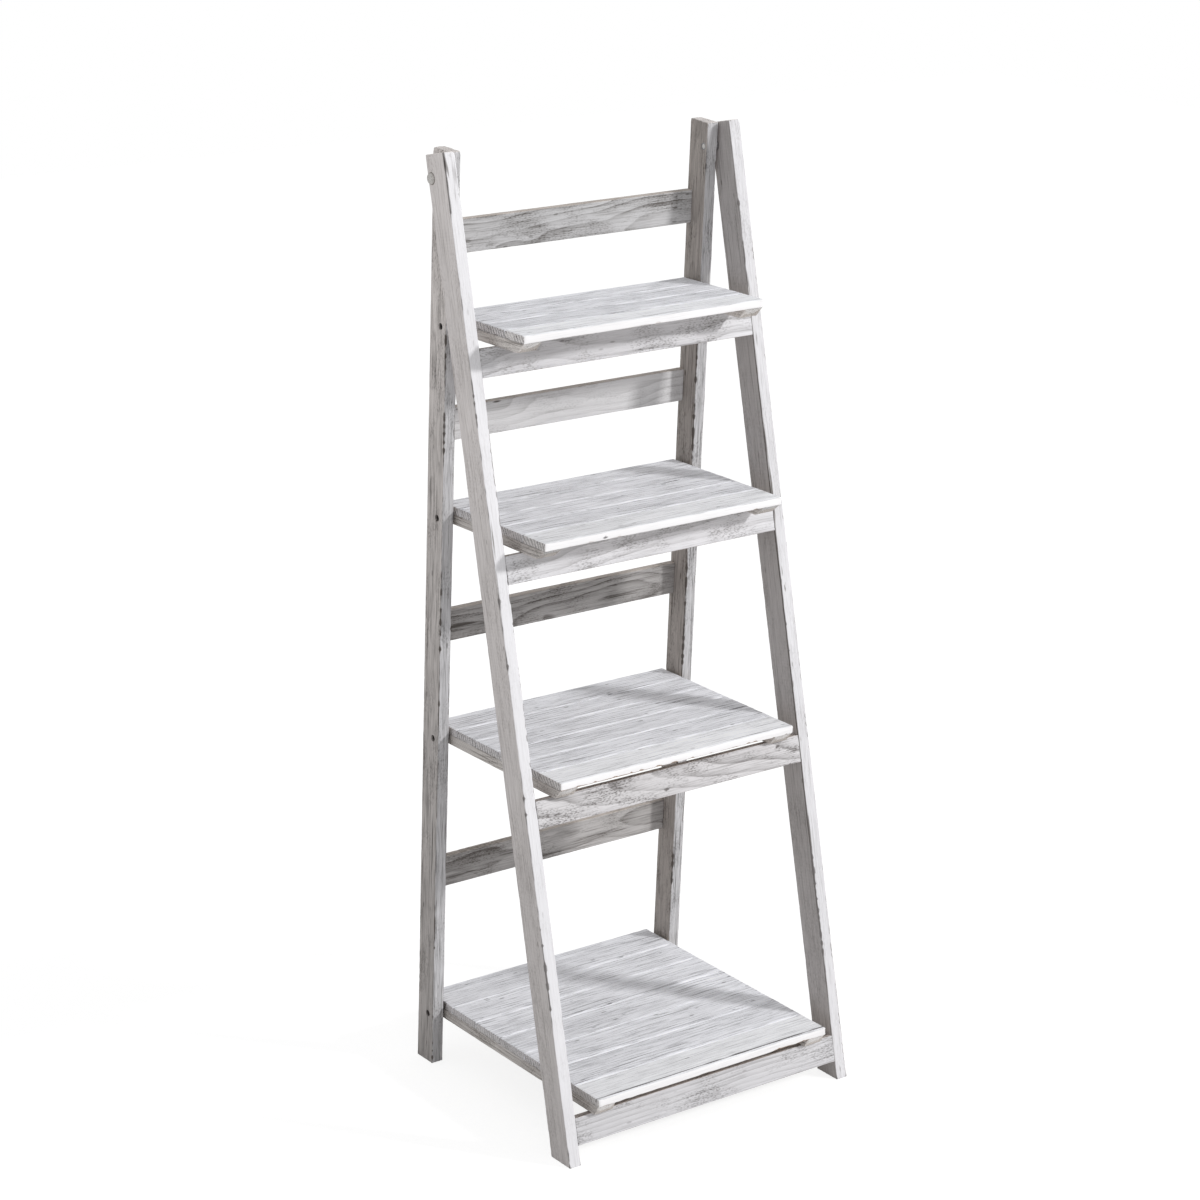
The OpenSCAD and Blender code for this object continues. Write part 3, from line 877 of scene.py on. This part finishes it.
# Dark places of the legs, in mm, as in dark_marks
LEG_MARKS = {
    "front_leg_left": ((-12, 0, 0.8, 11, 1.8, 1.15), (-34, 0, 0.8, 12, 1.0, 0.85), (-4, 0, 6.5, 4, 1.1, 1.0),
                       (-20, 0, 3.6, 8, 0.8, 0.9), (-60, 0, 1.6, 16, 0.8, 0.55), (-92, 0, 1, 18, 0.7, 0.45),
                       (-28, 0, 17.2, 24, 1.0, 0.8), (-24, 0, 12, 24, 4.5, 0.44), (-50, 0, 8, 16, 5, 0.38),
                       (-420, 0, 2, 30, 1.4, 0.6), (-470, 0, 1, 24, 1.4, 0.6), (-14, 8, 0, 30, 3, 0.3)),
    "front_leg_right": ((560, 0.8, 0, 560, 1.5, 0.8), (700, 0, 2, 40, 1.5, 0.9), (760, 0, 0.5, 26, 1.2, 1.0),
                        (640, 0, 15, 10, 0.8, 0.9), (420, 0, 15, 12, 0.8, 0.8), (300, 0, 1, 30, 1.2, 0.8),
                        (480, 0, 15, 6, 0.9, 0.9), (180, 0, 14, 10, 0.8, 0.8), (120, 0, 0.5, 40, 1.0, 0.8),
                        (610, 0, 3.5, 9, 0.8, 0.9), (590, 0, 4.5, 5, 0.7, 0.8), (500, 0, 3, 5, 0.8, 0.8),
                        (650, 0, 3, 16, 0.7, 0.7), (880, 0, 4, 14, 1.0, 0.7), (940, 0, 2, 18, 1.0, 0.8)),
    "rear_leg_left": ((300, 8, 0, 40, 0.8, 0.8), (520, 10, 0, 60, 0.7, 0.8), (640, 20, 0, 50, 0.9, 0.7)),
    "rear_leg_right": ((200, 0, 3, 40, 1.0, 0.8), (600, 0, 5, 60, 0.9, 0.8)),
}

# Wash of the legs, as in face_washes_and_shading: of the side away from the stand and the side towards it,
# of the fronts, and of the backs, tops and feet. Their tones and warmth are painted light and shade: the
# sides away from the stand grow lighter towards the top, the rear legs' outer sides most of all where the
# front legs shade them, the sides towards the stand, the backs and the feet are darker and warmer, the tops
# lighter, and the right front leg's front darker.
LEG_SIDES = {
    "front_leg": ((0.74, 1.1, 0.5, 0.2), (0.6, 0.6, 0.5, -0.1)),
    "rear_leg": ((0.68, 1.42, 0.6, 0), (0.68, 0.68, 1.0, 0)),
}
LEG_FRONTS = {
    "front_leg_left": (1.0, 1.0, 0, 0.62), "front_leg_right": (0.94, 0.94, 0, 0.35),
    "rear_leg_left": (1.0, 1.0, 0, 0), "rear_leg_right": (1.0, 1.0, 0, 0),
}
LEG_FACES = {(1, 1): (0.9, 0.9, 0.5, 0), (0, 1): (1.15, 1.15, 0.6, 0.4), (0, 0): (0.8, 0.8, 1.0, 0)}

# Edges of the legs where they aren't plain: along the front, and round the top
LEG_EDGES = {(0, 0): (0.8, 1.2, 1.0, 2), (0, 1): (0.8, 1.1, 0.9, 2)}
LEG_ENDS = {1: (1.1, 2.2, 0.45)}


def make_legs():
    for number, (place, lean) in enumerate(FRAMES.items()):
        kind = place + "_leg"
        up, depth, across = frame_axes(lean)
        outer, inner = LEG_SIDES[kind]
        for s, side in enumerate(SIDES):
            name = f"{kind}_{side}"
            faces = {(2, s): outer, (2, 1 - s): inner, (1, 0): LEG_FRONTS[name], **LEG_FACES}
            board(name, place + "_frame", (up, depth, across),
                  LEG_SEED + SEED_STEP * number + s, WOOD[kind], warp=level_foot(lean), faces=faces,
                  edges=LEG_EDGES, ends=LEG_ENDS, marks=LEG_MARKS[name], bores=leg_bores(kind, side),
                  halo=s if place == "front" else None)


# Knots and stains of the rails, in mm from the left end, the lower edge and the front, as in
# dark_marks
RAIL_MARKS = {
    "lower_front_rail": ((72, 26, 0, 26, 4, 0.42), (176, 8, 0, 4, 2, 0.9), (338, 24, 0, 3, 1.2, 1.0),
                         (352, 26, 0, 6, 1.5, 0.8)),
    "upper_rear_rail": ((20, 36, 0, 5, 1.8, 1.0), (44, 35, 0, 7, 1.6, 0.9), (70, 37, 0, 6, 1.4, 0.9),
                        (30, 20, 0, 26, 2.5, 0.5)),
    "lower_rear_rail": ((24, 18, 0, 30, 9, 0.55), (80, 26, 0, 36, 7, 0.45), (250, 12, 0, 40, 8, 0.5)),
    "bottom_rear_rail": ((30, 10, 0, 40, 4, 0.6), (110, 24, 0, 50, 5, 0.5), (240, 14, 0, 60, 6, 0.5)),
    "top_rear_rail": ((24, 14, 0, 12, 6, 0.5), (60, 6, 0, 18, 2, 0.7)),
}

# Wash of the rails' backs, undersides and tops, as in face_washes_and_shading. Their lower tones and warm
# tint are painted shade, as these faces lie under the shelves or are turned from the lamp.
RAIL_FACES = {
    "front_rail": {(1, 1): (0.82, 0.82, 1.0, 0), (1, 0): (0.8, 0.8, 1.0, 0), (2, 1): (0.86, 0.86, 1.0, 0)},
    "rear_rail": {(1, 1): (0.95, 0.95, 1.6, 0.3), (1, 0): (0.8, 0.8, 1.0, 0), (2, 1): (0.86, 0.86, 1.0, 0)},
}

# Where the pith of each rail's tree lies, in metres above and behind the rail's middle, and how far
# it leans back along the rail
RAIL_PITHS = {
    "bottom_front_rail": (0.1, 0.03, 0), "lower_front_rail": (0.017, 0.034, -0.085),
    "upper_front_rail": (0.022, 0.045, 0.03), "top_front_rail": (0.035, 0.08, 0),
    "bottom_rear_rail": (0.006, 0.05, 0), "lower_rear_rail": (-0.012, 0.045, 0),
    "upper_rear_rail": (0.03, 0.09, 0), "top_rear_rail": (-0.02, 0.06, 0),
}

# Wash of the rails' front faces, as in face_washes_and_shading. The darker tones of the rear rails are in
# part stains and in part painted shade that falls on them.
RAIL_FRONTS = {
    "bottom_rear_rail": (0.76, 0.84, 0.3, 0), "lower_rear_rail": (0.7, 0.74, 0.3, 0),
    "upper_rear_rail": (1.14, 1.16, 0, 0.6), "top_rear_rail": (0.86, 1.0, 0, 0.2),
    "bottom_front_rail": (0.96, 1.02, 0, 0.4), "lower_front_rail": (0.96, 1.0, 0.15, 0),
    "upper_front_rail": (1.06, 1.1, 0, 0.35), "top_front_rail": (0.95, 1.08, 0, 0.35),
}


def make_rails():
    """The rails from leg to leg. Their tenons are inside the legs and have no board."""
    for number, level in enumerate(LEVELS):
        for f, (place, lean) in enumerate(FRAMES.items()):
            kind = place + "_rail"
            name = f"{level}_{kind}"
            up, depth, across = frame_axes(lean)
            limits = (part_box(place + "_leg_left")[1].x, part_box(place + "_leg_right")[0].x)
            board(name, place + "_frame", (across, up, depth),
                  RAIL_SEED + SEED_STEP * number + f, WOOD[kind], limits=limits,
                  faces={**RAIL_FACES[kind], (2, 0): RAIL_FRONTS[name]},
                  marks=RAIL_MARKS.get(name, ()), pith=RAIL_PITHS[name])


# ---------------------------------------------------------------- the shelves

SHELF_AXES = ((1, 0, 0), (0, 1, 0), (0, 0, 1))
CLEAT_AXES = ((0, 1, 0), (1, 0, 0), (0, 0, 1))

# Seeds: of the first shelf, from shelf to shelf, and of its cleats and batten after its slats
SHELF_SEED = 30
SHELF_SEED_STEP = 12
CLEAT_SEEDS = 8
BATTEN_SEED = 10

# Edges of slats, as in PLAIN_EDGES: the front slat's upper and lower one, and where slats meet
NOSE = (3.2, 0.5, 0.12, 2)
UNDER_NOSE = {
    "bottom": (0.7, 1.7, 1.1, 2), "lower": (0.7, 1.2, 0.9, 2),
    "upper": (0.7, 0.6, 0.5, 2), "top": (0.7, 0.5, 0.4, 2),
}
JOINT = (JOINT_CHAMFER, 0.35, 0.12, 1.1)

# Stains of single slats, as in dark_marks, and the dark lines along the slats, as in dark_lines: one along
# the front slat's nose, and at each joint a line of painted shade, where the gap and the chamfer behind it
# lie in shade
SLAT_MARKS = {
    "upper_shelf_slat_1": ((80, 0, 3, 3, 1.6, 1.0),),
    "upper_shelf_slat_2": ((140, 22, 9, 3, 1.2, 1.0), (146, 24, 9, 2, 1.0, 0.9)),
    "bottom_shelf_slat_7": ((0, 20, 5, 3, 9, 0.8), (0, 42, 3, 3, 9, 0.7)),
}
NOSE_LINES = {"bottom": (4.4, 0.9, 1.2), "lower": (4.4, 0.9, 0.5), "upper": (4.4, 0.9, 0.4),
              "top": (4.4, 0.9, 0.4)}
JOINT_SHADE_LINE = (-0.3, 0.8, 1.1)

# Wash of the slats, as in face_washes_and_shading, and of the front slats where it differs. Their tones and
# warmth are painted light and shade: the right ends and undersides are darker and warmer, the fronts
# lighter, and the tops lighter towards the right end.
SLAT_FACES = {(0, 1): (0.85, 0.85, 1.0, -0.6), (2, 0): (0.85, 0.85, 1.0, 0),
              (2, 1): (1.04, 1.12, 0, 0), (1, 0): (1.15, 1.15, 0, 0.8)}
FRONT_SLAT_FACES = {(1, 0): (1.04, 1.04, 0.25, 0.9), (2, 1): (1.09, 1.14, 0, 0.36)}

# The slats' left ends: tone, which paints the light and shade on them, how far their edges are torn out in
# mm, and cover. The other values of these edges, their least radius and how bare they are, and the right
# ends' edges are alike.
SLAT_ENDS = {
    "bottom": (0.82, 2.8, -0.5), "lower": (0.88, 1.6, -0.8), "upper": (0.9, 1.6, -1), "top": (1.08, 2.6, -1),
}
SLAT_END_EDGES = (0.4, 0.5)
RIGHT_END = (0.4, 0.9, 0.4)

# How much the tone of undersides and tops changes from slat to slat, as a sine of the seed
TONE_CHANGES = {(2, 0): 0.05, (2, 1): 0.02}
TONE_TURN = 2.4

# Where the pith of the first slat's tree lies, and how it shifts from slat to slat, in metres
SLAT_PITH = (0.07, -0.045)
SLAT_PITH_SHIFT = (0.004, 0.005)


def slat_edges(level, front, back):
    """The long edges of a slat: a nose at the shelf's front, and chamfers where slats meet."""
    edges = {(0, 0): UNDER_NOSE[level], (0, 1): NOSE} if front else {(0, 1): JOINT}
    if not back:
        edges[1, 1] = JOINT
    return edges


def slat_faces(level, front, seed):
    tone, _, cover = SLAT_ENDS[level]
    faces = {**SLAT_FACES, (0, 0): (tone, tone, 0.5, cover)}
    if front:
        faces.update(FRONT_SLAT_FACES)
    for side, change in TONE_CHANGES.items():
        shade = 1 + change * math.sin(TONE_TURN * seed)
        first, last, *rest = faces[side]
        faces[side] = (first * shade, last * shade, *rest)
    return faces


def make_slats(level, first_seed):
    names = sorted(n for n in NODES if n.startswith(f"{level}_shelf_slat_") and n[-1].isdigit())
    base, bare = SLAT_END_EDGES
    ends = {0: (base, SLAT_ENDS[level][1], bare), 1: RIGHT_END}
    for number, node in enumerate(names):
        front, back = number == 0, number == len(names) - 1
        # a line of painted shade along the joint behind each slat but the last
        lines = [NOSE_LINES[level]] * front + [JOINT_SHADE_LINE] * (not back)
        pith = [place + shift * number for place, shift in zip(SLAT_PITH, SLAT_PITH_SHIFT)] + [0]
        board(node, level + "_shelf", SHELF_AXES, first_seed + number,
              WOOD["front_slat" if front else "slat"], edges=slat_edges(level, front, back), ends=ends,
              faces=slat_faces(level, front, first_seed + number), lines=lines,
              marks=SLAT_MARKS.get(node, ()), pith=pith)


# Wash of the cleats and battens, as in face_washes_and_shading, and the tone of the cleats' left faces.
# Their tones and warmth are painted light and shade: the battens, deep under the shelves, are darkest at the
# front, the cleats' right sides, undersides and backs are darker and warmer, their noses lighter, and their
# left faces lighter or darker from shelf to shelf as the light falls.
CLEAT_TONES = {"bottom": 0.9, "lower": 0.95, "upper": 0.95, "top": 1.16}
CLEAT_FACES = {(1, 1): (0.85, 0.85, 0.8, 0), (2, 0): (0.85, 0.85, 0.8, 0),
               (0, 0): (1.12, 1.12, 0.2, 0.2), (0, 1): (0.9, 0.9, 0.6, -0.6)}
BATTEN_FACES = {(1, 0): (0.7, 0.7, 1.0, 0), (1, 1): (0.8, 0.8, 1.0, 0), (2, 0): (0.85, 0.85, 1.0, 0)}

# How far back the bevel of a cleat's nose moves its grid, and within what height corners are
# level, in metres
NOSE_SPAN = 0.05
SAME_HEIGHT = 0.1 * MM


def bevelled_nose(node):
    """Warp that slants the front end of a cleat as far as its CAD solid does."""
    corners = points_of(NODES[node])
    heights = corners[:, 2]
    under = corners[heights < heights.min() + SAME_HEIGHT, 1].min()
    over = corners[heights > heights.max() - SAME_HEIGHT, 1].min()
    bevel = under - over

    def warp(at, low, high):
        share = np.clip(1 - (at[:, 0] - low[0]) / NOSE_SPAN, 0, 1)
        return at[:, 0] + bevel * share * (high[2] - at[:, 2]) / (high[2] - low[2])

    return warp


def make_cleats(level, seed):
    tone = CLEAT_TONES[level]
    faces = {(1, 0): (tone, tone, 0.5, -0.3), **CLEAT_FACES}
    for s, side in enumerate(SIDES):
        node = f"{level}_shelf_cleat_{side}"
        board(node, level + "_shelf", CLEAT_AXES, seed + s, WOOD["cleat"],
              warp=bevelled_nose(node), faces=faces)


def make_shelves():
    for number, level in enumerate(LEVELS):
        seed = SHELF_SEED + SHELF_SEED_STEP * number
        make_slats(level, seed)
        make_cleats(level, seed + CLEAT_SEEDS)
        board(level + "_shelf_batten", level + "_shelf", SHELF_AXES, seed + BATTEN_SEED,
              WOOD["cleat"], faces=BATTEN_FACES)


# ---------------------------------------------------------------- hardware

# Eased edges of the CAD's own pieces: how far in mm, in how many steps, and from which angle
BOLT_EASE = 0.6
EASE = 0.25
EASE_STEPS = 3
EASE_ANGLE = 40


def make_hardware():
    """Materials and eased edges for the CAD's own bolts, nuts, washers, spacers and screws."""
    for name, node in NODES.items():
        for key, material in METALS.items():
            if name.endswith(key):
                for material_slot in node.material_slots:
                    material_slot.material = material
                eased = node.modifiers.new("eased", "BEVEL")
                eased.width = (BOLT_EASE if key == "top_bolts" else EASE) * MM
                eased.segments = EASE_STEPS
                eased.limit_method = "ANGLE"
                eased.angle_limit = math.radians(EASE_ANGLE)


# ---------------------------------------------------------------- stage

def make_camera():
    data = bpy.data.cameras.new("photo_camera")
    data.lens = CAMERA_LENS
    data.sensor_width = CAMERA_SENSOR
    camera = bpy.data.objects.new("photo_camera", data)
    camera.location = CAMERA_AT
    camera.rotation_euler = [math.radians(a) for a in CAMERA_TURN]
    bpy.context.scene.collection.objects.link(camera)
    bpy.context.scene.camera = camera


def make_key_light():
    data = bpy.data.lights.new("key", "AREA")
    data.size = KEY_SIZE
    data.energy = KEY_WATTS
    lamp = bpy.data.objects.new("key", data)
    lamp.location = KEY_AT
    aim = Vector(KEY_AIM) - lamp.location
    lamp.rotation_euler = aim.to_track_quat("-Z", "Y").to_euler()
    bpy.context.scene.collection.objects.link(lamp)


def seen_directly(t):
    """1 where a camera, mirror or glass looks at the surface, and 0 where it only gives light."""
    path = t.node("ShaderNodeLightPath").outputs
    seen = t.math("MAXIMUM", path["Is Camera Ray"], path["Is Glossy Ray"])
    return t.math("MAXIMUM", seen, path["Is Transmission Ray"])


def make_world():
    """White where it is seen, and a plain soft light on everything."""
    t = Tree(bpy.data.worlds.new("studio"))
    white = t.node("ShaderNodeBackground", {"Color": WHITE, "Strength": 1.0})
    ambient = t.node("ShaderNodeBackground", {"Color": WHITE, "Strength": AMBIENT})
    both = t.node("ShaderNodeMixShader", {0: seen_directly(t), 1: ambient.outputs[0], 2: white.outputs[0]})
    bpy.context.scene.world = t.finish(both.outputs[0], "ShaderNodeOutputWorld")


def floor_material():
    """Pale grey that shows nearly white, and keeps the shadow of the object."""
    t = new_material("floor")
    matt = t.node("ShaderNodeBsdfDiffuse", {"Color": (FLOOR_GREY, FLOOR_GREY, FLOOR_GREY, 1)})
    glow = t.node("ShaderNodeEmission", {"Color": WHITE, "Strength": FLOOR_GLOW})
    both = t.node("ShaderNodeMixShader", {0: FLOOR_GLOW_SHARE, 1: matt.outputs[0], 2: glow.outputs[0]})
    lit = t.node("ShaderNodeMixShader", {0: seen_directly(t), 1: matt.outputs[0], 2: both.outputs[0]})
    return t.finish(lit.outputs[0])


def make_floor():
    corners = ((-1, -1, 0), (1, -1, 0), (1, 1, 0), (-1, 1, 0))
    floor = mesh_piece("floor", FLOOR_HALF * np.array(corners), [(0, 1, 2, 3)], floor_material())
    floor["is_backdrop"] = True


make_camera()
make_world()
make_key_light()
make_floor()
make_legs()
make_rails()
make_shelves()
make_hardware()
bpy.context.scene.view_settings.view_transform = "Standard"

boxes = {"cad": cad_box, "visual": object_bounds()}
{k: [[float(x) for x in corner] for corner in v] for k, v in boxes.items()}
